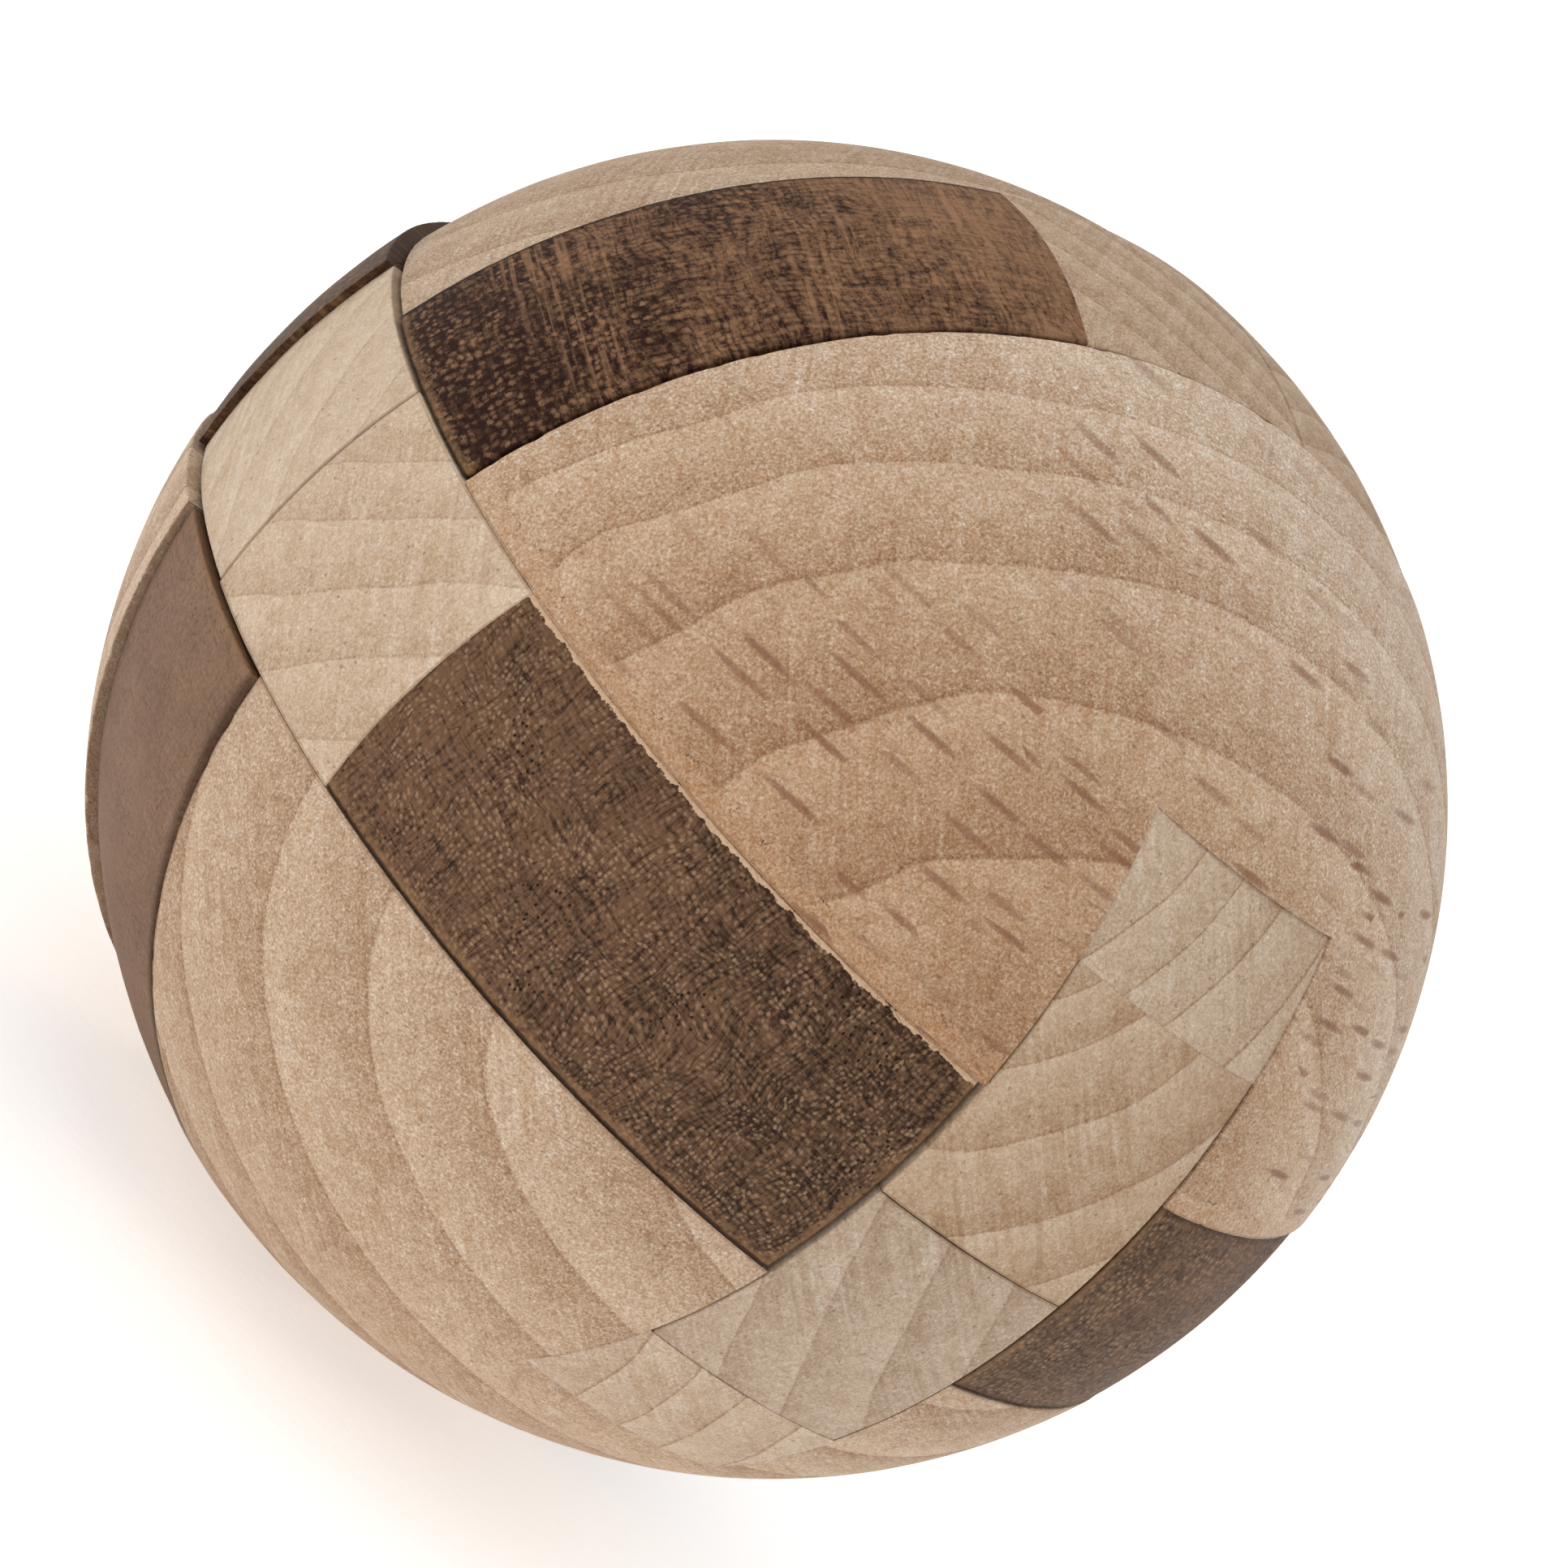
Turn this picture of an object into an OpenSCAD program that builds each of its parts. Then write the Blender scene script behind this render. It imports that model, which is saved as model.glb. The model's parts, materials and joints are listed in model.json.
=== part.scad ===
// A ball-shaped burr puzzle: six interlocked pieces, each glued up from sawn blocks and turned to a ball.
// The origin is the ball's centre. Left is -X, front is -Y and top is +Z.
// The six pieces come apart together, each one straight outwards along its own axis.

/* [Ball] */
// Diameter of the turned ball
ball_d = 60; // [40:1:90]
// Width of a square stick, as a share of the ball's diameter
stick_share = 0.2; // [0.16:0.01:0.24]
// Height of the bridge blocks, as a share of a stick's width
bridge_share = 0.5; // [0.4:0.05:0.7]

/* [Fit] */
// Space between two faces that slide past each other
gap = 0.2; // [0.1:0.05:0.4]

/* [Quality] */
// Number of facets round the ball in the preview
ball_facets = 96; // [48:12:180]

/* [Hidden] */

ball_r = ball_d / 2;
// Half the width of a stick: every saw cut lies on a whole number of these from the centre
unit = stick_share * ball_d / 2;
// Each of two facing sliding faces stands back by half the gap
ease = gap / 2;
// The same stand-off on a 45 degree face, measured along an axis
slant_ease = ease * sqrt(2);
stick_top = 2 * unit;
bridge_top = stick_top + 2 * unit * bridge_share;

stick_wood = "wheat";
bar_wood = "burlywood";
bridge_wood = "blanchedalmond";
dark_wood = "saddlebrown";

// The turned surface
module ball() {
    sphere(d = ball_d, $fn = ball_facets);
}

// A box between two opposite corners
module box(low, high) {
    translate(low)
        cube(high - low);
}

// One arm of the upper stick, towards +Y: its inner end is cut at 45 degrees over the front or rear stick
module stick_arm() {
    profile = [
        [unit + ease, stick_top],
        [unit + ease, unit - ease + slant_ease],
        [stick_top - ease + slant_ease, ease],
        [ball_r, ease],
        [ball_r, stick_top]
    ];
    rotate([90, 0, 90])
        linear_extrude(2 * (unit - ease), center = true)
            polygon(profile);
}

// The three-sided ridge that joins the two arms of the upper stick between the left and right sticks
module stick_ridge() {
    ridge_foot = unit - slant_ease;
    rotate([90, 0, 0])
        linear_extrude(2.5 * unit, center = true)
            polygon([[-ridge_foot, unit], [ridge_foot, unit], [0, stick_top - slant_ease]]);
}

// The upper stick: it runs along Y and lies on top of the centre plane
module stick() {
    intersection() {
        union() {
            stick_arm();
            mirror([0, 1, 0])
                stick_arm();
            stick_ridge();
        }
        ball();
    }
}

// A block glued on the top of the upper stick's +Y arm, out to the ball's surface
module end_block() {
    intersection() {
        box([-unit + ease, unit + ease, stick_top], [unit - ease, ball_r, ball_r]);
        ball();
    }
}

// The low block that ties the upper stick's +Y arm to the bar across it
module bridge() {
    intersection() {
        box([-unit, unit + ease, stick_top], [unit, ball_r, bridge_top]);
        ball();
    }
}

// The bar that runs along X at the +Y, +Z side of the ball, notched over the upper stick and its bridge
module bar() {
    difference() {
        intersection() {
            box([-ball_r, unit + ease, unit + ease], [ball_r, ball_r, ball_r]);
            ball();
        }
        box([-unit, 0, 0], [unit, ball_d, bridge_top]);
    }
}

// Turns a block of the upper piece so that it belongs to the piece on the named side
module on_side(side) {
    if (side == "upper")
        children();
    if (side == "lower")
        mirror([0, 0, 1])
            children();
    if (side == "right")
        rotate([90, 0, 90])
            children();
    if (side == "left")
        mirror([1, 0, 0])
            rotate([90, 0, 90])
                children();
    if (side == "rear")
        rotate([-90, -90, 0])
            children();
    if (side == "front")
        mirror([0, 1, 0])
            rotate([-90, -90, 0])
                children();
}

// Moves a block from a stick's +Y arm to its -Y arm
module other_end() {
    mirror([0, 1, 0])
        children();
}

module upper_stick() {
    color(stick_wood)
        on_side("upper")
            stick();
}

module lower_stick() {
    color(stick_wood)
        on_side("lower")
            stick();
}

module front_stick() {
    color(stick_wood)
        on_side("front")
            stick();
}

module rear_stick() {
    color(stick_wood)
        on_side("rear")
            stick();
}

module left_stick() {
    color(stick_wood)
        on_side("left")
            stick();
}

module right_stick() {
    color(stick_wood)
        on_side("right")
            stick();
}

module upper_front_bridge() {
    color(bridge_wood)
        on_side("upper")
            other_end()
                bridge();
}

module upper_rear_bridge() {
    color(bridge_wood)
        on_side("upper")
            bridge();
}

module lower_front_bridge() {
    color(bridge_wood)
        on_side("lower")
            other_end()
                bridge();
}

module lower_rear_bridge() {
    color(bridge_wood)
        on_side("lower")
            bridge();
}

module upper_front_bar() {
    color(bar_wood)
        on_side("upper")
            other_end()
                bar();
}

module upper_rear_bar() {
    color(bar_wood)
        on_side("upper")
            bar();
}

module lower_front_bar() {
    color(bar_wood)
        on_side("lower")
            other_end()
                bar();
}

module lower_rear_bar() {
    color(bar_wood)
        on_side("lower")
            bar();
}

module front_left_block() {
    color(dark_wood)
        on_side("front")
            other_end()
                end_block();
}

module front_right_block() {
    color(dark_wood)
        on_side("front")
            end_block();
}

module rear_left_block() {
    color(dark_wood)
        on_side("rear")
            other_end()
                end_block();
}

module rear_right_block() {
    color(dark_wood)
        on_side("rear")
            end_block();
}

module left_top_block() {
    color(dark_wood)
        on_side("left")
            end_block();
}

module left_bottom_block() {
    color(dark_wood)
        on_side("left")
            other_end()
                end_block();
}

module right_top_block() {
    color(dark_wood)
        on_side("right")
            end_block();
}

module right_bottom_block() {
    color(dark_wood)
        on_side("right")
            other_end()
                end_block();
}

upper_stick();
lower_stick();
front_stick();
rear_stick();
left_stick();
right_stick();
upper_front_bridge();
upper_rear_bridge();
lower_front_bridge();
lower_rear_bridge();
upper_front_bar();
upper_rear_bar();
lower_front_bar();
lower_rear_bar();
front_left_block();
front_right_block();
rear_left_block();
rear_right_block();
left_top_block();
left_bottom_block();
right_top_block();
right_bottom_block();
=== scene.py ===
"""Looks of the wooden burr puzzle ball: every block is a worn, procedurally grained piece of wood."""

import itertools
import json
import math

import bmesh
import bpy
import numpy as np
from mathutils import Matrix, Vector, noise


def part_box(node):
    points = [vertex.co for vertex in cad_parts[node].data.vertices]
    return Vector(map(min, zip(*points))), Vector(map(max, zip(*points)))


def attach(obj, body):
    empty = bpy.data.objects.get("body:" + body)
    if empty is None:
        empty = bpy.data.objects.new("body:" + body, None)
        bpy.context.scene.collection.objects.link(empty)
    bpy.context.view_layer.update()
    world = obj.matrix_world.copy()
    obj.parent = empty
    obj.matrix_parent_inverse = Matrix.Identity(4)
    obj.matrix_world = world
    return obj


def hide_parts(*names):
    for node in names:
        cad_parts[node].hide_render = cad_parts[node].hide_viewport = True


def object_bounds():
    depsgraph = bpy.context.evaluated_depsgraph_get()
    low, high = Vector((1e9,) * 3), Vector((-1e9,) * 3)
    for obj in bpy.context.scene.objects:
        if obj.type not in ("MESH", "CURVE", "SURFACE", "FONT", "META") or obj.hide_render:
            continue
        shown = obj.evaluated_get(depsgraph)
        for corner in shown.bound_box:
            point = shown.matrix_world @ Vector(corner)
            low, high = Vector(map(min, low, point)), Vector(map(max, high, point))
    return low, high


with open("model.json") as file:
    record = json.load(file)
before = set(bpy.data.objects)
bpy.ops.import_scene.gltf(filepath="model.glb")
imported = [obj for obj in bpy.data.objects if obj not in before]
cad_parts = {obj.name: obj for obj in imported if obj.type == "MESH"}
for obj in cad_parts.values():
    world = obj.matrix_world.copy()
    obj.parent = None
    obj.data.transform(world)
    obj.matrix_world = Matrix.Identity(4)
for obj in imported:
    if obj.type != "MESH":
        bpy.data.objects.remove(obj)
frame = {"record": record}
cad_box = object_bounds()

MM = 0.001

# ---------------------------------------------------------------- sizes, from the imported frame
ball_r = (cad_box[1][0] - cad_box[0][0]) / 2
stick_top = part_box("upper_stick")[1].z
unit = stick_top / 2
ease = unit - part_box("upper_stick")[1].x
slant_ease = ease * math.sqrt(2)
bridge_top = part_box("upper_front_bridge")[1].z

# ---------------------------------------------------------------- the blocks as cutting planes
# A plane is (inward normal, distance from the centre, finish). A finish is how much of the edge is worn off,
# how far the face has swollen outwards, and how much that varies.
SLIDING = (0.07 * MM, 0.0, 0.045 * MM)
CLOSE = (0.03 * MM, 0.06 * MM, 0.03 * MM)
SNUG = (0.03 * MM, 0.075 * MM, 0.02 * MM)
EASY = (0.04 * MM, 0.03 * MM, 0.05 * MM)
LOOSE = (0.09 * MM, -0.06 * MM, 0.04 * MM)
GAPING = (0.1 * MM, -0.15 * MM, 0.05 * MM)
GLUED = (0.006 * MM, 0.0, 0.0)
HIDDEN = (0.08 * MM, 0.0, 0.0)


def plane(normal, offset, finish):
    """The half-space on the far side of a plane, seen from the centre along its normal."""
    normal = Vector(normal)
    return normal.normalized(), offset / normal.length, finish


SIDES = [plane((1, 0, 0), ease - unit, SLIDING), plane((-1, 0, 0), ease - unit, SLIDING)]
ARM = SIDES + [
    plane((0, 0, 1), ease, CLOSE),
    plane((0, 0, -1), -stick_top, GLUED),
    plane((0, 1, 0), unit + ease, HIDDEN),
    plane((0, 1, 1), stick_top + slant_ease, HIDDEN),
]
RIDGE = [
    plane((0, 0, 1), unit, HIDDEN),
    plane((1, 0, -1), slant_ease - stick_top, HIDDEN),
    plane((-1, 0, -1), slant_ease - stick_top, HIDDEN),
    plane((0, 1, 0), -1.25 * unit, HIDDEN),
    plane((0, -1, 0), -1.25 * unit, HIDDEN),
]
END_BLOCK = SIDES + [
    plane((0, 1, 0), unit + ease, SLIDING),
    plane((0, 0, 1), stick_top, GLUED),
]
BRIDGE = [
    plane((1, 0, 0), -unit, GLUED),
    plane((-1, 0, 0), -unit, GLUED),
    plane((0, 1, 0), unit + ease, HIDDEN),
    plane((0, 0, 1), stick_top, GLUED),
    plane((0, 0, -1), -bridge_top, GLUED),
]
BAR = [
    plane((0, 1, 0), unit + ease, SLIDING),
    plane((0, 0, 1), unit + ease, SLIDING),
]
# The material lies outside the notch: beyond at least one of these
BAR_NOTCH = [
    plane((1, 0, 0), unit, GLUED),
    plane((-1, 0, 0), unit, GLUED),
    plane((0, 0, 1), bridge_top, GLUED),
]

# The same turns as in the CAD model: from the upper piece's frame to each side of the ball
CYCLE = Matrix(((0, 0, 1), (1, 0, 0), (0, 1, 0)))
SIDE = {
    "upper": Matrix.Identity(3),
    "lower": Matrix.Diagonal((1, 1, -1)),
    "right": CYCLE,
    "left": Matrix.Diagonal((-1, 1, 1)) @ CYCLE,
    "rear": CYCLE @ CYCLE,
    "front": Matrix.Diagonal((1, -1, 1)) @ CYCLE @ CYCLE,
}
OTHER_END = Matrix.Diagonal((1, -1, 1))


def turned(planes, matrix):
    """The planes, turned with their block into its place."""
    return [(matrix @ normal, offset, finish) for normal, offset, finish in planes]


# ---------------------------------------------------------------- meshes
BALL_CUTS = 63
RIM_REACH = 0.55 * MM
RIM_CUTS = 4
ROUND_ROWS = (0.04 * MM, 0.1 * MM, 0.2 * MM)
FLAT_ROWS = (0.04 * MM, 0.07 * MM, 0.14 * MM)
TOUCH = 0.002 * MM
# Swellings are lumps of this size, and fade out this deep in the block
SWELL_SIZE = 6 * MM
SWELL_DEPTH = 0.5 * MM
# A lift of the round surface fades out this deep, and leaves side faces flat this close to them
RISE_DEPTH = 5 * MM
FLAT_REACH = 2 * MM
SHARP_ANGLE = math.radians(42)
# Stored, in millimetres, on a block with no such edge
FAR = 9.0


def make_ball():
    """A ball of even quads."""
    bm = bmesh.new()
    bmesh.ops.create_cube(bm, size=2)
    bmesh.ops.subdivide_edges(bm, edges=bm.edges[:], cuts=BALL_CUTS, use_grid_fill=True)
    for vert in bm.verts:
        spread = Vector([math.tan(math.pi / 4 * c) for c in vert.co])
        vert.co = spread.normalized() * ball_r
    return bm


def positions(bm):
    """Where the mesh's points are."""
    return np.array([v.co for v in bm.verts])


def depth(points, cut):
    """How far inside a plane each point lies."""
    normal, offset, _ = cut
    return points @ np.array(normal) - offset


def refine_rims(bm, planes):
    """Splits the ball's faces finely where the planes will cut its surface."""
    bm.verts.index_update()
    points = positions(bm)
    inside = np.min([depth(points, cut) for cut in planes], axis=0)
    near = np.abs(inside) < RIM_REACH
    edges = {e for f in bm.faces if any(near[v.index] for v in f.verts) for e in f.edges}
    bmesh.ops.subdivide_edges(bm, edges=list(edges), cuts=RIM_CUTS, use_grid_fill=True)
    for vert in bm.verts:
        vert.co = vert.co.normalized() * ball_r


def slice_off(bm, geometry, cut, row=0.0, clear=False):
    """Cuts the geometry with a plane, moved inwards by row, and returns the new edges."""
    normal, offset, _ = cut
    made = bmesh.ops.bisect_plane(
        bm,
        geom=geometry,
        dist=1e-8,
        plane_co=normal * (offset + row),
        plane_no=normal,
        clear_inner=clear,
    )
    return [e for e in made["geom_cut"] if isinstance(e, bmesh.types.BMEdge)]


def everything(bm):
    """All of the mesh's points, edges and faces."""
    return bm.verts[:] + bm.edges[:] + bm.faces[:]


def is_round(face):
    """Whether a face lies on the ball's surface."""
    centre = face.calc_center_median()
    return face.normal.dot(centre.normalized()) > 0.95 and centre.length > ball_r - 0.05 * MM


def carve(planes):
    """The part of the ball inside all the planes, as a closed mesh."""
    bm = ball.copy()
    refine_rims(bm, planes)
    for cut in planes:
        loop = slice_off(bm, everything(bm), cut, clear=True)
        if loop:
            bmesh.ops.edgeloop_fill(bm, edges=loop)
    bmesh.ops.recalc_face_normals(bm, faces=bm.faces)
    return bm


def combine(base, tool, operation):
    """One closed mesh from two, with Blender's exact boolean."""
    objects = []
    for part in (base, tool):
        mesh = bpy.data.meshes.new("part")
        part.to_mesh(mesh)
        objects.append(bpy.data.objects.new("part", mesh))
        bpy.context.scene.collection.objects.link(objects[-1])
    modifier = objects[0].modifiers.new("combine", "BOOLEAN")
    modifier.operation = operation
    modifier.solver = "EXACT"
    modifier.object = objects[1]
    result = bmesh.new()
    result.from_object(objects[0], bpy.context.evaluated_depsgraph_get())
    for obj in objects:
        bpy.data.meshes.remove(obj.data)
    return result


def cut_notch(bm):
    """Takes the space for a stick and its bridge out of a bar."""
    tool = bmesh.new()
    low = Vector((-unit, 0, 0))
    high = Vector((unit, 2 * ball_r, bridge_top))
    bmesh.ops.create_cube(tool, size=1)
    for vert in tool.verts:
        vert.co = [c + (b - a) * (v + 0.5) for a, b, c, v in zip(low, high, low, vert.co)]
    return combine(bm, tool, "DIFFERENCE")


def add_rows(bm, planes):
    """Adds rows of edges on both sides of every rim, for the worn arris to turn through."""
    bm.normal_update()
    flat = [f for f in bm.faces if not is_round(f)]
    for low, high in zip((0,) + FLAT_ROWS, FLAT_ROWS):
        bmesh.ops.inset_individual(bm, faces=flat, thickness=high - low, use_even_offset=False)
    bm.normal_update()
    for cut, row in itertools.product(planes, ROUND_ROWS):
        faces = [f for f in bm.faces if is_round(f) and depth(np.array(f.verts[0].co), cut) < RIM_REACH]
        edges = {e for f in faces for e in f.edges}
        verts = {v for f in faces for v in f.verts}
        slice_off(bm, faces + list(edges) + list(verts), cut, row)


def wander(points, size, seed):
    """Smooth noise, about -1 to 1, whose lumps are of the given size."""
    shift = Vector((seed * 7.31, seed * 3.17, seed * 5.93))
    return np.array([noise.noise(Vector(p) / size + shift) for p in points])


def surfaces(points, planes, notched, seed):
    """The depth below each surface, the way in from it, and its finish."""
    reach = np.linalg.norm(points, axis=1)
    yield ball_r - reach, -points / reach[:, None], None
    for number, cut in enumerate(planes):
        _, swell, change = cut[2]
        gap = depth(points, cut)
        if swell or change:
            gap = gap + swell + change * wander(points, SWELL_SIZE, seed + number)
        yield gap, np.broadcast_to(np.array(cut[0]), points.shape), cut[2]
    if notched:
        aside = np.abs(points[:, 0]) - unit
        above = np.abs(points[:, 2]) - bridge_top
        beyond = (aside > 0) & (above > 0)
        gap = np.where(beyond, np.hypot(aside, above), np.maximum(aside, above))
        way_x = np.where(beyond, aside, (aside > above) * 1.0) * np.sign(points[:, 0])
        way_z = np.where(beyond, above, (aside <= above) * 1.0) * np.sign(points[:, 2])
        way = np.stack([way_x, np.zeros(len(points)), way_z], axis=1)
        yield gap, way / np.maximum(np.linalg.norm(way, axis=1), 1e-9)[:, None], GLUED


def swollen(points, planes, seed):
    """The points, with the sliding faces swollen or shrunk and the others still on the ball."""
    on_ball = np.linalg.norm(points, axis=1) > ball_r - TOUCH
    moved = points.copy()
    for number, cut in enumerate(planes):
        _, swell, change = cut[2]
        if swell or change:
            near = np.clip(1 - depth(points, cut) / SWELL_DEPTH, 0, 1)
            much = swell + change * wander(points, SWELL_SIZE, seed + number)
            moved -= (near * much)[:, None] * np.array(cut[0])
    moved[on_ball] *= (ball_r / np.linalg.norm(moved[on_ball], axis=1))[:, None]
    return moved


def rounded(points, planes, notched, seed, chips):
    """The points, with every rim rounded over unevenly, and chipped where pieces slide."""
    ragged = 1 + 0.5 * wander(points, 1.3 * MM, seed + 40) + 0.35 * wander(points, 0.45 * MM, seed + 50)
    chip = np.clip(wander(points, 0.9 * MM, seed + 60) - 0.12, 0, 1) * chips
    for _ in range(3):
        push = np.zeros_like(points)
        for one, two in itertools.combinations(list(surfaces(points, planes, notched, seed)), 2):
            arris = min(f[0] for f in (one[2], two[2]) if f)
            sliding = arris > GLUED[0] and not (one[2] and two[2])
            radius = arris * ragged + (chip if sliding else 0)
            q_one = np.maximum(radius - one[0], 0)
            q_two = np.maximum(radius - two[0], 0)
            size = np.hypot(q_one, q_two)
            excess = np.where((q_one > 0) & (q_two > 0), np.maximum(size - radius, 0), 0)
            way = (q_one[:, None] * one[1] + q_two[:, None] * two[1]) / np.maximum(size, 1e-12)[:, None]
            push += excess[:, None] * way
        points = points + push
    return points


def raised(points, planes, seed, lift):
    """The points, with the ball's surface lifted, tilted and undulating, but the side faces left flat."""
    reach = np.linalg.norm(points, axis=1)
    outwards = points / reach[:, None]
    way = outwards.copy()
    for cut in planes:
        if cut[2] != HIDDEN:
            normal = np.array(cut[0])
            close = np.clip(1 - np.abs(depth(points, cut)) / FLAT_REACH, 0, 1)
            way -= (close * (outwards @ normal))[:, None] * normal
    height, tilt = lift
    rise = height + points @ np.array(tilt)
    for hollow, size, number in ((0.03 * MM, 8 * MM, 70), (0.012 * MM, 2.2 * MM, 80)):
        rise = rise - hollow * (1 + wander(points, size, seed + number))
    near = np.clip(1 - (ball_r - reach) / RISE_DEPTH, 0, 1)
    return points + way * (near * rise / np.maximum(np.sum(way * outwards, axis=1), 0.4))[:, None]


def wear(bm, planes, notched, seed, lift, chips):
    """Swells the sliding faces, rounds the rims over and lets the ball's surface undulate."""
    points = swollen(positions(bm), planes, seed)
    points = rounded(points, planes, notched, seed, chips)
    for vert, point in zip(bm.verts, raised(points, planes, seed, lift)):
        vert.co = point


def placed(bm, matrix):
    """A copy, turned or mirrored into its place."""
    bm = bm.copy()
    bm.transform(matrix.to_4x4())
    if matrix.determinant() < 0:
        bmesh.ops.reverse_faces(bm, faces=bm.faces)
    return bm


ball = make_ball()
shapes = {}
for name, planes in (("arm", ARM), ("end_block", END_BLOCK), ("bridge", BRIDGE), ("bar", BAR)):
    shapes[name] = carve(planes)
ridge_shape = carve(RIDGE)
shapes["bar"] = cut_notch(shapes["bar"])
for name, planes in (("arm", ARM), ("end_block", END_BLOCK), ("bridge", BRIDGE), ("bar", BAR + BAR_NOTCH)):
    add_rows(shapes[name], planes)


def block_mesh(shape, planes, matrix, seed, lift, chips):
    """One worn block, in its place, from the planes as they fit there."""
    bm = placed(shapes[shape], matrix)
    wear(bm, planes, shape == "bar", seed, lift, chips)
    return bm


def stick_mesh(node, matrix, seed, lift):
    """Both arms of a stick and the ridge between them."""
    ends = (matrix, matrix @ OTHER_END)
    arms = [block_mesh("arm", fitted(node, ARM, turn), turn, seed, lift, 0) for turn in ends]
    both = combine(*arms, "UNION")
    return combine(both, placed(ridge_shape, matrix), "UNION")


def mark_edges(bm, planes, rubbed, torn):
    """Stores how far each point lies, in millimetres, from the rims and the rubbed and torn edges."""
    points = positions(bm)
    edges = {
        "rim": [cut for cut in planes if cut[2] not in (GLUED, HIDDEN)],
        "edge": [planes[number] for number in rubbed],
        "torn": [planes[number] for number in torn],
    }
    for label, cuts in edges.items():
        gaps = [np.abs(depth(points, cut)) for cut in cuts]
        layer = bm.verts.layers.float.new(label)
        nearest = np.min(gaps, axis=0) / MM if gaps else np.full(len(points), FAR)
        for vert, value in zip(bm.verts, nearest):
            vert[layer] = value


def make_piece(node, bm, planes, material, slot):
    """The object that stands for a CAD node and rides on the node's body."""
    mark_edges(bm, planes, RUBBED.get(node, (2,) if slot == "dark_wood" else ()), TORN.get(node, ()))
    mesh = bpy.data.meshes.new(node + "_worn")
    bm.to_mesh(mesh)
    mesh.shade_smooth()
    mesh.set_sharp_from_angle(angle=SHARP_ANGLE)
    mesh.materials.append(material)
    piece = bpy.data.objects.new(node + "_worn", mesh)
    bpy.context.scene.collection.objects.link(piece)
    bodies = frame["record"]["behaviour"]["bodies"]
    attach(piece, next(body for body, nodes in bodies.items() if node in nodes))
    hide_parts(node)


# ---------------------------------------------------------------- materials
# The last sanding strokes run the same way over the whole ball
SANDED = Vector((-0.45, 0.6, 0.65)).normalized()
SANDED_ACROSS = Vector((0.64, 0.77, 0)).cross(SANDED).normalized()
# A ray fleck, and the cell that holds one (along the grain, outwards and around), in millimetres
FLECK_LONG, FLECK_WIDE = 1.25, 0.18
FLECK_CELL = (3.0, 6.0, 1.3)


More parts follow.
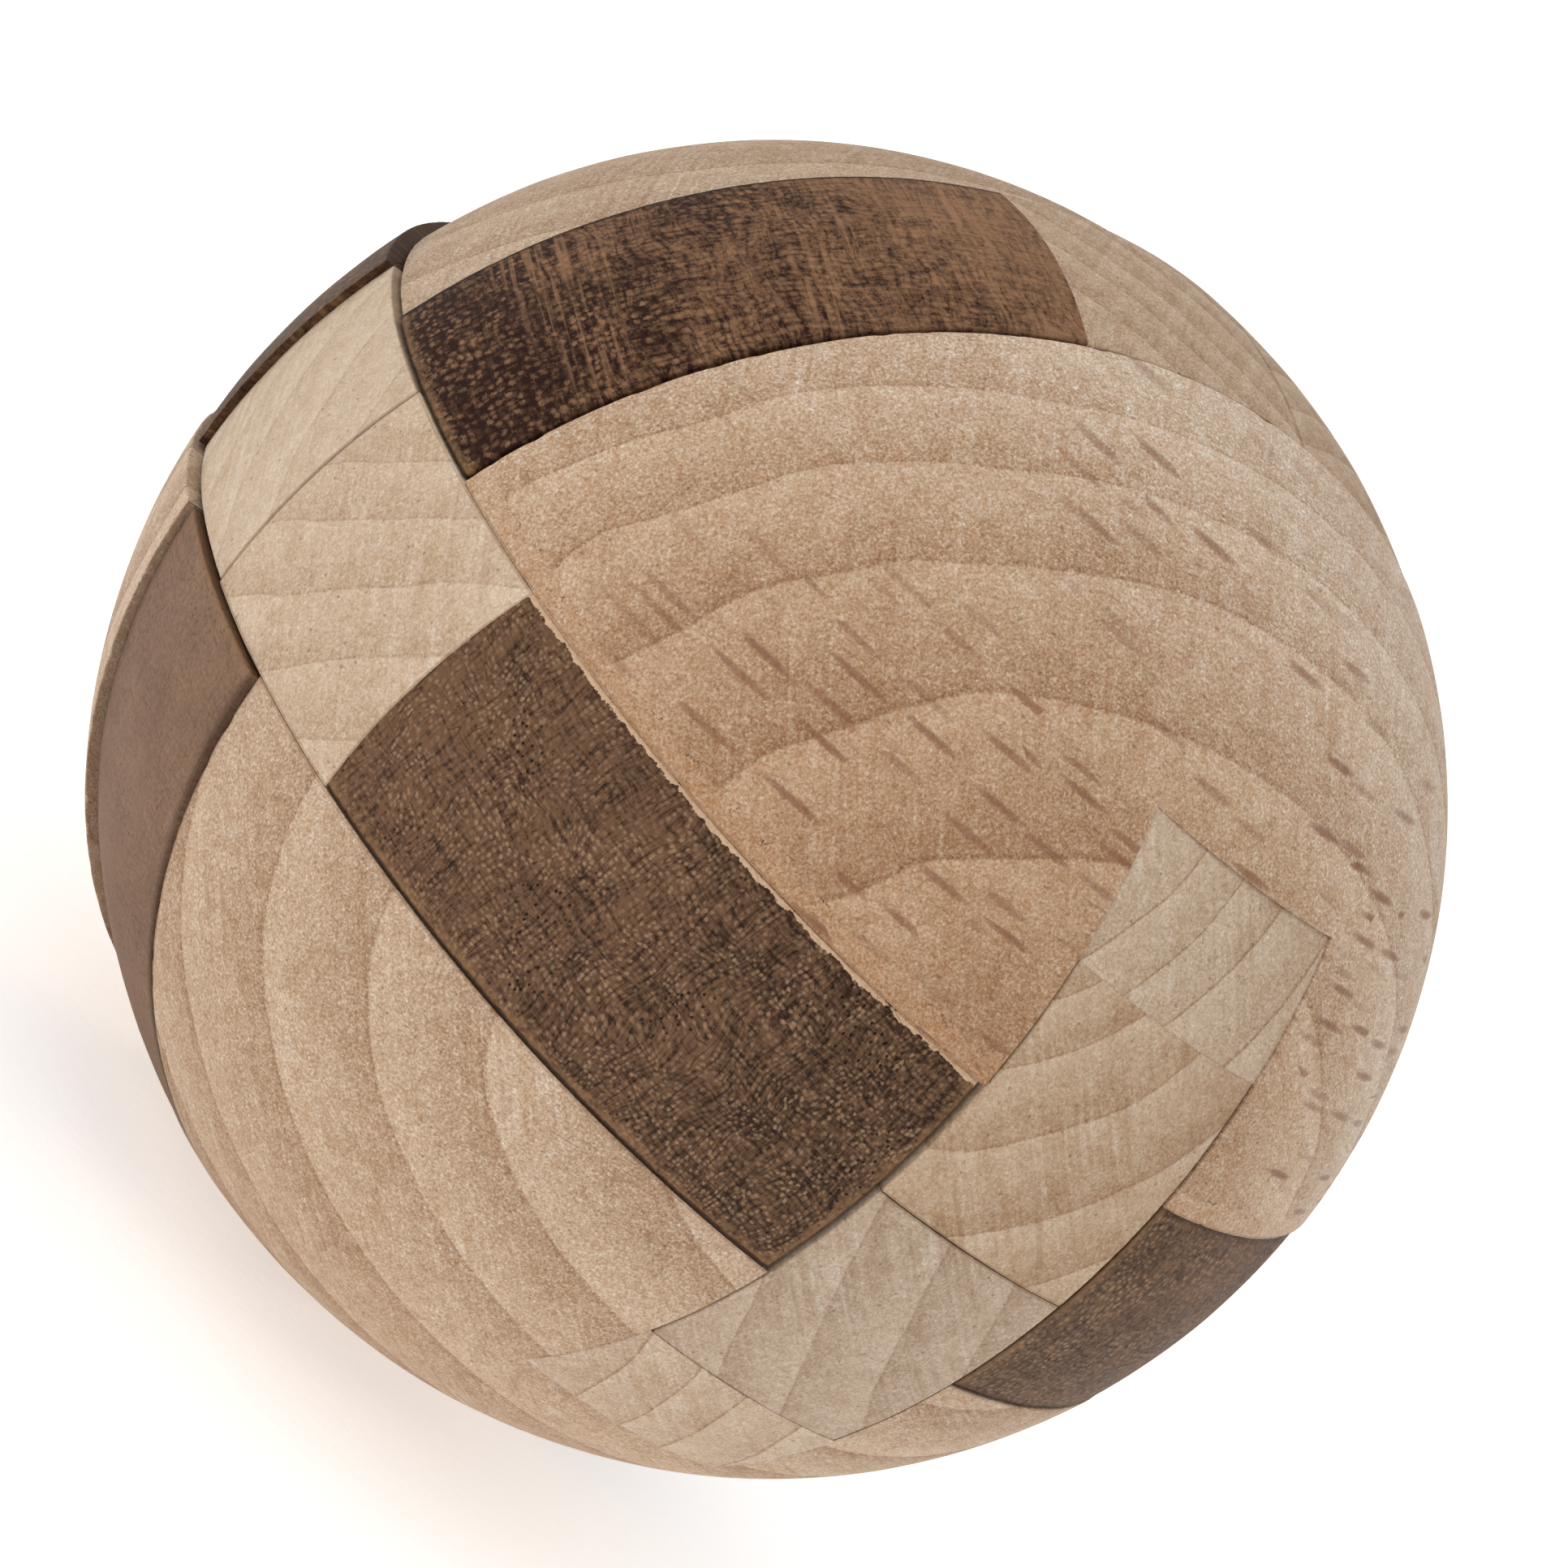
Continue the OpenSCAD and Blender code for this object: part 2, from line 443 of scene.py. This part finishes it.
class Nodes:
    """Builds a material's node tree from plain calls. A value is a socket, a number or a vector."""

    def __init__(self, name):
        self.material = bpy.data.materials.new(name)
        self.material.use_nodes = True
        self.tree = self.material.node_tree
        self.tree.nodes.clear()

    def node(self, kind, inputs, **settings):
        made = self.tree.nodes.new(kind)
        for key, value in settings.items():
            setattr(made, key, value)
        for key, value in inputs.items():
            if isinstance(value, bpy.types.NodeSocket):
                self.tree.links.new(value, made.inputs[key])
            elif value is not None:
                made.inputs[key].default_value = value
        return made

    def math(self, operation, *values):
        return self.node("ShaderNodeMath", dict(enumerate(values)), operation=operation).outputs[0]

    def times(self, one, two):
        return self.math("MULTIPLY", one, two)

    def total(self, *terms, plus=0.0):
        """The sum of (value, weight) terms and a constant or a socket."""
        for value, weight in reversed(terms):
            plus = self.math("MULTIPLY_ADD", value, weight, plus)
        return plus

    def vector(self, operation, *values, output=0):
        made = self.node("ShaderNodeVectorMath", dict(enumerate(values)), operation=operation)
        return made.outputs[output]

    def scaled(self, vector, factor):
        return self.vector("SCALE", vector, None, None, factor)

    def dot(self, vector, direction):
        return self.vector("DOT_PRODUCT", vector, tuple(direction), output=1)

    def length(self, vector):
        return self.vector("LENGTH", vector, output=1)

    def join(self, x, y, z=0.0):
        return self.node("ShaderNodeCombineXYZ", {0: x, 1: y, 2: z}).outputs[0]

    def stretched(self, x, x_scale, y, y_scale, z=0.0, z_scale=1.0):
        """A place whose three values are each scaled."""
        scaled = [self.times(value, scale) for value, scale in ((x, x_scale), (y, y_scale))]
        return self.join(*scaled, z if z_scale == 1.0 else self.times(z, z_scale))

    def noise(self, vector, scale=1.0, detail=2.0, rough=0.5, twist=0.0):
        """Noise around 0, about -1 to 1."""
        inputs = {"Vector": vector, "Scale": scale, "Detail": detail, "Roughness": rough, "Distortion": twist}
        return self.total((self.node("ShaderNodeTexNoise", inputs).outputs[0], 4.0), plus=-2.0)

    def cells(self, vector, randomness=1.0, dimensions="3D"):
        inputs = {"Vector": vector, "Scale": 1.0, "Randomness": randomness}
        return self.node("ShaderNodeTexVoronoi", inputs, voronoi_dimensions=dimensions).outputs

    def channel(self, colour, number):
        return self.node("ShaderNodeSeparateColor", {0: colour}).outputs[number]

    def ramp(self, value, low, high, start=0.0, end=1.0, smooth=True):
        """value from low..high to start..end, clamped."""
        kind = "SMOOTHSTEP" if smooth else "LINEAR"
        inputs = {0: value, 1: low, 2: high, 3: start, 4: end}
        return self.node("ShaderNodeMapRange", inputs, interpolation_type=kind).outputs[0]

    def line(self, value, width):
        """1 where the value crosses zero, 0 beyond the width."""
        return self.ramp(self.math("ABSOLUTE", value), width, 0.0)

    def mix(self, share, one, two):
        made = self.node("ShaderNodeMix", {0: share, 6: one, 7: two}, data_type="RGBA")
        return made.outputs[2]

    def tint(self, colour, amount):
        """colour times (1 + amount)."""
        return self.scaled(colour, self.math("ADD", amount, 1.0))

    def attribute(self, name):
        return self.node("ShaderNodeAttribute", {}, attribute_name=name).outputs["Fac"]

    def place(self):
        """The place on the object, in millimetres."""
        return self.scaled(self.node("ShaderNodeTexCoord", {}).outputs["Object"], 1 / MM)

    def finish(self, colour, rough, height, distance, shine=0.3, glow=0.0):
        bump = self.node("ShaderNodeBump", {"Height": height, "Distance": distance * MM, "Strength": 1.0})
        inputs = {"Base Color": colour, "Roughness": rough, "Specular IOR Level": shine}
        shader = self.node("ShaderNodeBsdfPrincipled", {**inputs, "Normal": bump.outputs[0]})
        if glow:
            shader.inputs["Emission Color"].default_value = (1.0, 1.0, 1.0, 1.0)
            shader.inputs["Emission Strength"].default_value = glow
        self.node("ShaderNodeOutputMaterial", {"Surface": shader.outputs[0]})
        return self.material


def rgb(red, green, blue):
    """A display colour, 0 to 255, as a linear one."""
    return tuple(((c / 255 + 0.055) / 1.055) ** 2.4 for c in (red, green, blue)) + (1.0,)


def wood_place(n, along, pith, warp):
    """Millimetres along the grain, outwards from the pith and around it, and the plain place."""
    place = n.place()
    along, pith = Vector(along).normalized(), Vector(pith)
    to_pith = pith - pith.dot(along) * along
    from_pith = n.vector("SUBTRACT", place, tuple(pith))
    lengthwise = n.dot(place, along)
    flat = n.vector("SUBTRACT", from_pith, n.scaled(tuple(along), n.dot(from_pith, along)))
    x = n.dot(from_pith, -to_pith.normalized())
    y = n.dot(from_pith, along.cross(-to_pith.normalized()))
    around = n.times(n.math("ARCTAN2", y, x), to_pith.length)
    wavy = n.noise(n.join(n.times(lengthwise, 0.03), x, y), 0.09)
    return place, lengthwise, n.total((wavy, warp), plus=n.length(flat)), around


def growth_rings(n, out, cloud, broad, ring, ring_start, contrast, mottle):
    """How dark the wood is, and the thin line in which each ring ends. Each ring darkens slowly."""
    uneven = n.noise(n.join(n.times(out, 0.13), 3.7, 1.3), 1.0, 1.0)
    phase = n.math("FRACT", n.total((uneven, 0.3), (cloud, 0.012), (out, 1 / ring), plus=ring_start))
    late = n.times(n.ramp(phase, 0.3, 0.97), n.ramp(phase, 1.0, 0.975))
    line = n.times(n.ramp(phase, 0.93, 0.975), n.ramp(phase, 1.0, 0.98))
    early = n.ramp(phase, 0.0, 0.4, 0.3 * contrast, 0.0)
    share = n.total((broad, 0.2 * mottle), (late, 0.6 * contrast), (early, -1.0), (cloud, 0.1), plus=0.3)
    return n.ramp(share, 0.0, 1.0, smooth=False), line


def ray_flecks(n, place, lengthwise, out, around, hairs, crowding):
    """Thin sheets that point away from the pith, cut across by the surface."""
    long, deep, wide = FLECK_CELL
    tall = n.stretched(lengthwise, 1 / long, out, 1 / deep, around, 1 / wide)
    cells = n.cells(tall)
    off = n.vector("SUBTRACT", tall, cells["Position"])
    off_long = n.times(n.dot(off, (1, 0, 0)), long / FLECK_LONG)
    off_wide = n.total((n.dot(off, (0, 0, 1)), wide / FLECK_WIDE), (hairs, 0.25))
    inside = n.ramp(n.total((off_long, off_long), (off_wide, off_wide)), 1.5, 0.0)
    chance = n.ramp(n.channel(cells["Color"], 0), 0.3, 0.95)
    crowd = n.math("ADD", n.noise(place, 0.07, 1.0), n.dot(place, crowding))
    return n.times(n.times(inside, chance), n.ramp(crowd, -0.2, 0.8, 0.15, 1.0))


def pale_wood(
    name, along, pith, pale, tan, ring=4.0, ring_start=0.0, contrast=1.0, outline=0.4, flecks=1.0, warp=0.5,
    mottle=0.5, grit=1.0, strip=0.0, ray=None, crowding=(0, 0, 0), shade=(0, 0, 0), shade_start=0.0,
):
    """A hardwood such as beech: rings, ray flecks, short fibres and specks.

    A negative ring grows towards the pith. strip is how frayed the rubbed edge is, ray the way the ray flecks
    point, crowding the way in which they become more, and shade the way in which the wood darkens, a painted
    shade that is partly the wood's own tone and partly the fall of the light.
    """
    n = Nodes(name)
    place, lengthwise, out, around = wood_place(n, along, pith, warp)
    cloud = n.noise(place, 0.9, 2.0, 0.6)
    broad = n.noise(place, 0.12)
    share, line = growth_rings(n, out, cloud, broad, ring, ring_start, contrast, mottle)
    colour = n.mix(share, rgb(*pale), rgb(*tan))
    colour = n.mix(n.times(line, outline * contrast), colour, rgb(138, 96, 66))
    # A rubbed, frayed strip along a bar's edge
    edge = n.total((n.noise(place, 1.6, 3.0, 0.7), 0.35), plus=n.attribute("edge"))
    frayed = n.ramp(edge, 1.05, 0.8)
    colour = n.mix(n.times(frayed, strip), colour, rgb(208, 177, 148))
    if strip:
        torn_off = n.ramp(n.math("ABSOLUTE", n.math("SUBTRACT", edge, 0.95)), 0.045, 0.01)
        torn_off = n.times(torn_off, n.ramp(n.noise(place, 0.8, 1.0), 0.0, 0.45))
        colour = n.mix(n.times(torn_off, 0.6), colour, rgb(112, 74, 48))
    # Specks, short hairs, fibres and sanding scratches. Darker grains are also warmer
    hairs = n.noise(place, 4.6, 3.0, 0.75, twist=1.6)
    speck = n.noise(place, 8.0, 2.0, 0.7)
    fibre = n.noise(n.stretched(lengthwise, 0.25, out, 4.0, around, 4.0), 1.0, 2.0, 0.6)
    scratch = n.noise(n.stretched(n.dot(place, SANDED), 0.14, n.dot(place, SANDED_ACROSS), 4.5, 0.7))
    scratched = n.times(scratch, n.ramp(n.noise(place, 0.22, 1.0), -0.5, 0.9, 0.3, 1.6))
    gritty = n.total((hairs, 0.36 * grit), (speck, 0.46 * grit), (fibre, 0.1))
    grain = n.total((scratched, 0.13), (cloud, 0.07), plus=gritty)
    # Painted shade: the colour darkens along a fixed way across the object, partly the wood's own tone and
    # partly the fall of the light
    lean = n.ramp(n.math("ADD", shade_start, n.dot(place, shade)), -0.16, 0.5, -0.16, 0.5, smooth=False)
    grain = n.math("ADD", grain, n.math("ADD", lean, 1.0))
    colour = n.node("ShaderNodeGamma", {0: colour, 1: grain}).outputs[0]
    # Pores
    pore = n.ramp(n.cells(n.stretched(lengthwise, 0.6, out, 1.5, around, 1.5))["Distance"], 0.13, 0.05)
    colour = n.mix(n.times(pore, 0.35), colour, rgb(104, 72, 48))
    if ray:
        out, around = n.dot(place, ray), n.dot(place, Vector(along).cross(Vector(ray)))
    fleck = ray_flecks(n, place, lengthwise, out, around, hairs, crowding)
    colour = n.mix(n.times(fleck, 0.75 * flecks), colour, rgb(132, 88, 64))
    # Darker on the arris where pieces slide on each other, and over the side faces in the gaps: grime on the
    # arris, painted shade in the gaps
    grime_and_gap_shade = n.ramp(n.total((speck, 0.02), plus=n.attribute("rim")), 0.07, 0.0, 0.0, 0.5)
    colour = n.mix(grime_and_gap_shade, colour, rgb(112, 76, 50))
    height = n.total((fibre, 0.3), (hairs, 0.5), (scratch, 0.25), (pore, -1.2), (fleck, -0.5))
    height = n.total((n.times(frayed, speck), strip), plus=height)
    rough = n.total((cloud, 0.04), (fleck, -0.1), plus=0.64)
    return n.finish(colour, rough, height, 0.035, 0.12)


def dark_wood(
    name, across, outwards, base, deep, dot, rim_tone, dots=1.0, pitch=0.26, streaks=0.0, pores=0.4,
    lines=1.0, lean=(0.0, 0.0), gap_shade_strength=0.3,
):
    """A dark hardwood cut across its rays: tan dots between two crossing sets of fine lines, with pores.

    pitch is the spacing of the dots, and lean how much paler the wood gets along the block, and from where.
    """
    n = Nodes(name)
    place = n.place()
    wide = n.dot(place, across)
    run = n.math("ARCTAN2", n.dot(place, across.cross(outwards)), n.dot(place, outwards))
    run = n.times(run, ball_r / MM)
    flat = n.join(wide, run)
    wide_bent = n.total((n.noise(flat, 0.3), 0.3), (run, 0.09), plus=wide)
    run_bent = n.total((n.noise(flat, 0.26, 1.0), 0.4), plus=run)
    rays = n.noise(n.stretched(wide_bent, 1.2 / pitch, run, 0.3, 2.0), 1.0, 2.0, 0.75)
    fibres = n.noise(n.stretched(wide, 0.4, run_bent, 1.2 / pitch, 5.0), 1.0, 2.0, 0.75)
    speck = n.noise(place, 6.0, 3.0, 0.75)
    cloud = n.noise(flat, 0.5, 2.0, 0.55)
    broad = n.noise(flat, 0.12, 1.0)
    tone = n.total((rays, 0.42 * lines), (fibres, 0.5 * lines), (cloud, 0.22), (speck, 0.55), (broad, 0.22))
    tone = n.total((run, lean[0]), (tone, 1.0), plus=lean[1] + 0.5)
    colour = n.mix(n.ramp(tone, 0.0, 1.0, smooth=False), rgb(*deep), rgb(*base))
    # Tan dots where rays and fibres cross
    cells = n.cells(n.stretched(wide_bent, 1 / pitch, run_bent, 1 / pitch, 0.5), 0.75, "2D")
    spot = n.ramp(n.total((speck, 0.35), plus=cells["Distance"]), 0.52, 0.08)
    spot = n.times(spot, n.ramp(n.channel(cells["Color"], 1), 0.05, 0.9, 0.15, 1.0))
    spot = n.times(spot, n.ramp(n.noise(flat, 0.35), -0.9, 0.7, 0.35, 1.0))
    colour = n.mix(n.times(spot, dots), colour, rgb(*dot))
    # Light streaks across the block, between fine dark lines
    stripe = n.noise(n.join(n.times(wide, 0.1), n.total((wide, -0.25), (run, 2.8)), 9.0), 1.0, 2.0, 0.6)
    where = n.ramp(n.noise(n.stretched(wide, 0.06, run, 0.16, 3.0), 1.0, 1.0), -0.15, 0.45)
    colour = n.mix(n.times(n.times(n.ramp(stripe, 0.0, 0.7), where), streaks), colour, rgb(*dot))
    crack = n.line(n.noise(n.stretched(wide, 0.22, run_bent, 1.5, 4.0), 1.0, 1.0), 0.05)
    crack = n.times(crack, n.ramp(n.noise(flat, 0.5, 1.0), -0.2, 0.5))
    groove = n.line(n.noise(n.stretched(wide_bent, 1.3, run, 0.14, 8.0), 1.0, 1.0), 0.05)
    groove = n.times(groove, n.ramp(n.noise(flat, 0.4, 1.0), -0.1, 0.6))
    dark_line = n.math("MAXIMUM", crack, groove)
    colour = n.mix(n.times(dark_line, 0.5 * lines), colour, rgb(46, 29, 21))
    # Pores
    pore = n.ramp(n.cells(n.stretched(wide, 1.7, run, 2.0), dimensions="2D")["Distance"], 0.15, 0.07)
    pore = n.times(pore, n.ramp(n.noise(flat, 0.16, 1.0), -0.2, 0.5))
    colour = n.mix(n.times(pore, pores), colour, rgb(30, 16, 10))
    # Rims rubbed to a golden brown
    edge = n.total((n.noise(place, 1.7, 3.0, 0.7), 0.3), (speck, 0.2), plus=n.attribute("edge"))
    colour = n.mix(n.ramp(edge, 0.62, 0.05, 0.0, 0.6), colour, rgb(*rim_tone))
    # Darker towards the sliding rims and over the side faces in the gaps: painted shade of the gaps between
    # pieces
    colour = n.mix(n.ramp(n.attribute("rim"), 0.5, 0.0, 0.0, 0.3), colour, rgb(48, 29, 20))
    # Painted shade in the gaps between pieces: the side faces darken, but only near the ball's surface
    outer = n.ramp(n.length(place), ball_r / MM - 1.8, ball_r / MM - 0.5)
    painted_gap_shade = n.ramp(n.total((n.noise(place, 2.2, 3.0, 0.7), 0.05), plus=n.attribute("rim")), 0.17, 0.04)
    colour = n.mix(n.times(n.times(painted_gap_shade, outer), gap_shade_strength), colour, rgb(38, 23, 16))
    # Fibres of the neighbouring bar, smeared over the edge
    torn = n.total((n.noise(place, 1.5, 3.0, 0.75), 0.17), plus=n.attribute("torn"))
    smear = n.tint(rgb(206, 174, 142)[:3], n.times(speck, 0.2))
    colour = n.mix(n.ramp(torn, 0.17, 0.13), colour, smear)
    height = n.total((fibres, 0.3), (speck, 0.6), (rays, 0.25), (pore, -2.0), (dark_line, -0.8))
    return n.finish(colour, n.total((cloud, 0.05), plus=0.6), height, 0.035, 0.1)


# ---------------------------------------------------------------- the 22 pieces
STICK_LOOKS = {
    "upper": dict(
        pith=(-45, 0, 41), pale=(200, 175, 148), tan=(164, 130, 98), ring=3.3, contrast=0.6, grit=0.6,
    ),
    "lower": dict(
        pith=(50, 0, 28), pale=(196, 174, 152), tan=(158, 132, 108), ring=3.1, contrast=0.45, mottle=0.8,
        grit=0.6,
    ),
    "front": dict(
        pith=(0, 60, 60), pale=(210, 186, 160), tan=(178, 150, 122), ring=3.0, contrast=0.42, mottle=1.2,
        grit=0.7,
    ),
    "rear": dict(
        pith=(0, -70, 62), pale=(214, 192, 168), tan=(184, 158, 130), ring=3.4, contrast=0.35, mottle=0.8,
        grit=0.5,
    ),
    "left": dict(
        pith=(40, 50, 0), pale=(202, 176, 150), tan=(160, 130, 102), ring=3.1, contrast=0.45, grit=0.8,
    ),
    "right": dict(
        pith=(-30, 60, 0), pale=(202, 176, 150), tan=(160, 130, 102), ring=2.8, contrast=0.45, grit=0.8,
    ),
}
BRIDGE_LOOK = dict(
    pale=(206, 184, 160), tan=(168, 138, 110), ring=3.2, flecks=0.3, contrast=0.3, outline=1.6, grit=0.7,
)
BAR_LOOKS = {
    "upper_front": dict(
        pith=(0, -150, 6), pale=(212, 186, 160), tan=(176, 143, 114), ring=-4.2, ring_start=0.857,
        contrast=0.5, warp=0.8, strip=0.85, grit=1.25, ray=(0, 0.985, -0.17), crowding=(0.02, -0.06, -0.02),
        # Painted shade on this bar: darker towards -x and -y, partly its own tone and partly the fall of the
        # light
        shade=(-0.018, -0.0345, 0), shade_start=-0.604,
    ),
    "upper_rear": dict(
        pith=(0, 90, 40), pale=(198, 172, 146), tan=(164, 134, 106), ring=4.6, flecks=0.5, contrast=0.5,
    ),
    "lower_front": dict(
        pith=(0, -31.8, -4.2), pale=(202, 175, 148), tan=(164, 131, 102), ring=-5.1, ring_start=-0.08,
        contrast=0.6, flecks=0.5, warp=0.3,
    ),
    "lower_rear": dict(
        pith=(0, 35, -8), pale=(204, 178, 152), tan=(164, 132, 104), ring=4.8, contrast=0.6, flecks=0.5,
    ),
}
DARK = dict(base=(116, 86, 63), deep=(52, 32, 21), dot=(158, 124, 93), rim_tone=(158, 120, 84))
DARK_LOOKS = {
    "front_left_block": dict(
        base=(111, 81, 59), deep=(44, 27, 18), dot=(156, 125, 97), pores=0.95, lines=1.3, dots=0.95,
        lean=(-0.018, 0.56), gap_shade_strength=0.85,
    ),
    "front_right_block": dict(pores=0.6, pitch=0.32, lines=0.7, base=(122, 94, 72)),
    "rear_left_block": dict(pitch=0.4, dots=0.5, lines=0.5),
    "rear_right_block": dict(pitch=0.34),
    "left_top_block": dict(
        base=(148, 110, 80), deep=(40, 16, 8), dot=(160, 120, 88), pitch=0.4, streaks=0.5, lines=0.8,
        pores=0.3, dots=0.75, lean=(0.037, 0.77), gap_shade_strength=0.85,
    ),
    "left_bottom_block": dict(
        base=(142, 112, 90), deep=(104, 78, 60), dot=(160, 130, 104), dots=0.35, lines=0.3, pores=0.15,
    ),
    "right_top_block": dict(pitch=0.36, dots=0.7),
    "right_bottom_block": dict(pitch=0.3, pores=0.7),
}
# How far each block's surface stands above the ball, in millimetres
LIFT = {
    "upper_front_bar": 0.1, "upper_rear_bar": -0.28, "lower_front_bar": -0.05, "lower_rear_bar": 0.62,
    "front_left_block": -0.08, "front_right_block": -0.1, "rear_left_block": 0.4, "rear_right_block": -0.05,
    "left_top_block": -0.03, "left_bottom_block": 0.42, "right_top_block": -0.04, "right_bottom_block": 0.1,
    "upper_front_bridge": -0.03, "lower_stick": -0.04, "left_stick": -0.03, "right_stick": -0.05,
}
# How much further it stands up with each millimetre along x, y and z
TILT = {"left_bottom_block": (0, 0, 0.02)}
# Faces that fit tighter or looser than the others, by their number in the block's list of planes
FITS = {
    "front_stick": {0: SNUG, 1: SNUG},
    "upper_stick": {0: LOOSE},
    "lower_stick": {0: LOOSE},
    "upper_front_bar": {1: SNUG},
    "upper_rear_bar": {0: SNUG},
    "lower_front_bar": {0: SNUG, 1: SNUG},
    "lower_rear_bar": {1: LOOSE},
    "front_left_block": {0: EASY, 1: SNUG, 2: LOOSE},
    "front_right_block": {1: SNUG},
    "left_top_block": {0: GAPING, 1: SNUG},
    "left_bottom_block": {0: SNUG, 2: LOOSE},
    "rear_right_block": {0: SNUG},
    "right_bottom_block": {2: LOOSE},
}
# Edges that are rubbed pale or golden, and edges with a neighbour's torn fibres on them, by the same numbers.
# On a dark block with no entry, the end is rubbed
RUBBED = {"front_left_block": (0, 2), "upper_front_bar": (1,)}
TORN = {"front_left_block": (1,)}
BAR_CHIPS = 0.24 * MM
BLOCK_CHIPS = 0.06 * MM


def lifted(node):
    """How far a block's surface stands above the ball at its middle plane, and its tilt."""
    return LIFT.get(node, 0.0) * MM, TILT.get(node, (0, 0, 0))


def fitted(node, planes, turn):
    """The planes of a block in its place, with its own fit."""
    own = FITS.get(node, {})
    return turned([(cut[0], cut[1], own.get(number, cut[2])) for number, cut in enumerate(planes)], turn)


def axes(matrix):
    """Across a block, outwards from the ball's centre, and the third way."""
    return [matrix @ Vector(axis) for axis in ((1, 0, 0), (0, 1, 0), (0, 0, 1))]


seeds = itertools.count(10, 10)
for side, turn in SIDE.items():
    node = side + "_stick"
    look = pale_wood(node + "_wood", axes(turn)[1], flecks=0.25, **STICK_LOOKS[side])
    bm = stick_mesh(node, turn, next(seeds), lifted(node))
    make_piece(node, bm, turned(ARM, turn), look, "stick_wood")

for side, end in itertools.product(("upper", "lower"), ("front", "rear")):
    turn = SIDE[side] @ (OTHER_END if end == "front" else Matrix.Identity(3))
    across, outwards, up = axes(turn)
    node = f"{side}_{end}_bridge"
    look = pale_wood(node + "_wood", outwards, pith=tuple(up * 36 - across * 48), **BRIDGE_LOOK)
    planes = fitted(node, BRIDGE, turn)
    bm = block_mesh("bridge", planes, turn, next(seeds), lifted(node), 0)
    make_piece(node, bm, planes, look, "bridge_wood")
    node = f"{side}_{end}_bar"
    look = pale_wood(node + "_wood", (1, 0, 0), **BAR_LOOKS[f"{side}_{end}"])
    planes = fitted(node, BAR, turn)
    bm = block_mesh("bar", planes, turn, next(seeds), lifted(node), BAR_CHIPS)
    make_piece(node, bm, planes, look, "bar_wood")

BLOCK_ENDS = {
    "front": ("right", "left"),
    "rear": ("right", "left"),
    "left": ("top", "bottom"),
    "right": ("top", "bottom"),
}
for side, ends in BLOCK_ENDS.items():
    for end, turn in zip(ends, (SIDE[side], SIDE[side] @ OTHER_END)):
        across, outwards, _ = axes(turn)
        node = f"{side}_{end}_block"
        look = dark_wood(node + "_wood", across, outwards, **{**DARK, **DARK_LOOKS[node]})
        planes = fitted(node, END_BLOCK, turn)
        bm = block_mesh("end_block", planes, turn, next(seeds), lifted(node), BLOCK_CHIPS)
        make_piece(node, bm, planes, look, "dark_wood")

# ---------------------------------------------------------------- floor, lights and camera
# The floor gives off a little light, so that it stays as white as a studio's
FLOOR_TONE = (0.93, 0.93, 0.93)
FLOOR_GLOW = 0.45
SKY = 0.66
TURN, RISE, ROLL = (math.radians(a) for a in (-40.03, 15.43, 47.97))
# The camera's place: away from the ball's centre, to its right and above it, in its own directions
AWAY, ASIDE, ABOVE = 0.2438, 0.00053, 0.0010
LENS = 124.88


def pale_floor():
    """A plain pale floor under the ball."""
    n = Nodes("pale_floor")
    place = n.node("ShaderNodeTexCoord", {}).outputs["Object"]
    speck = n.noise(place, 900.0)
    tone = n.tint(FLOOR_TONE, n.total((n.noise(place, 6.0), 0.004), (speck, 0.002)))
    rough = n.total((speck, 0.03), plus=0.85)
    bm = bmesh.new()
    bmesh.ops.create_grid(bm, x_segments=40, y_segments=40, size=1.5)
    bmesh.ops.translate(bm, verts=bm.verts, vec=(0, 0, cad_box[0][2]))
    mesh = bpy.data.meshes.new("floor")
    bm.to_mesh(mesh)
    mesh.materials.append(n.finish(tone, rough, speck, 0.01, 0.2, glow=FLOOR_GLOW))
    floor = bpy.data.objects.new("floor", mesh)
    bpy.context.scene.collection.objects.link(floor)


def white_world():
    """Even white light from all sides."""
    world = bpy.data.worlds.new("studio")
    world.use_nodes = True
    background = world.node_tree.nodes["Background"]
    background.inputs["Color"].default_value = (1.0, 1.0, 1.0, 1.0)
    background.inputs["Strength"].default_value = SKY
    bpy.context.scene.world = world


def soft_light(name, position, size, power):
    """A round lamp that points at the ball."""
    light = bpy.data.lights.new(name, "AREA")
    light.shape = "DISK"
    light.size = size
    light.energy = power
    lamp = bpy.data.objects.new(name, light)
    bpy.context.scene.collection.objects.link(lamp)
    lamp.location = position
    lamp.rotation_euler = (-Vector(position)).to_track_quat("-Z", "Y").to_euler()


def look_from_the_left():
    """The camera, turned, raised and rolled as in the photo."""
    back = Vector((math.sin(TURN) * math.cos(RISE), -math.cos(TURN) * math.cos(RISE), math.sin(RISE)))
    level = Vector((math.cos(TURN), math.sin(TURN), 0))
    right = level * math.cos(ROLL) + back.cross(level) * math.sin(ROLL)
    up = back.cross(right)
    camera = bpy.data.cameras.new("camera")
    camera.sensor_width = 36
    camera.lens = LENS
    camera.clip_start = 0.01
    viewer = bpy.data.objects.new("camera", camera)
    bpy.context.scene.collection.objects.link(viewer)
    viewer.matrix_world = Matrix((right, up, back)).transposed().to_4x4()
    viewer.location = back * AWAY + right * ASIDE + up * ABOVE
    bpy.context.scene.camera = viewer


pale_floor()
white_world()
soft_light("key", (-0.66, -0.16, 0.56), 0.7, 1.9)
soft_light("overhead", (0.15, -0.1, 1.0), 0.9, 1.2)
look_from_the_left()
bpy.context.scene.view_settings.view_transform = "Standard"
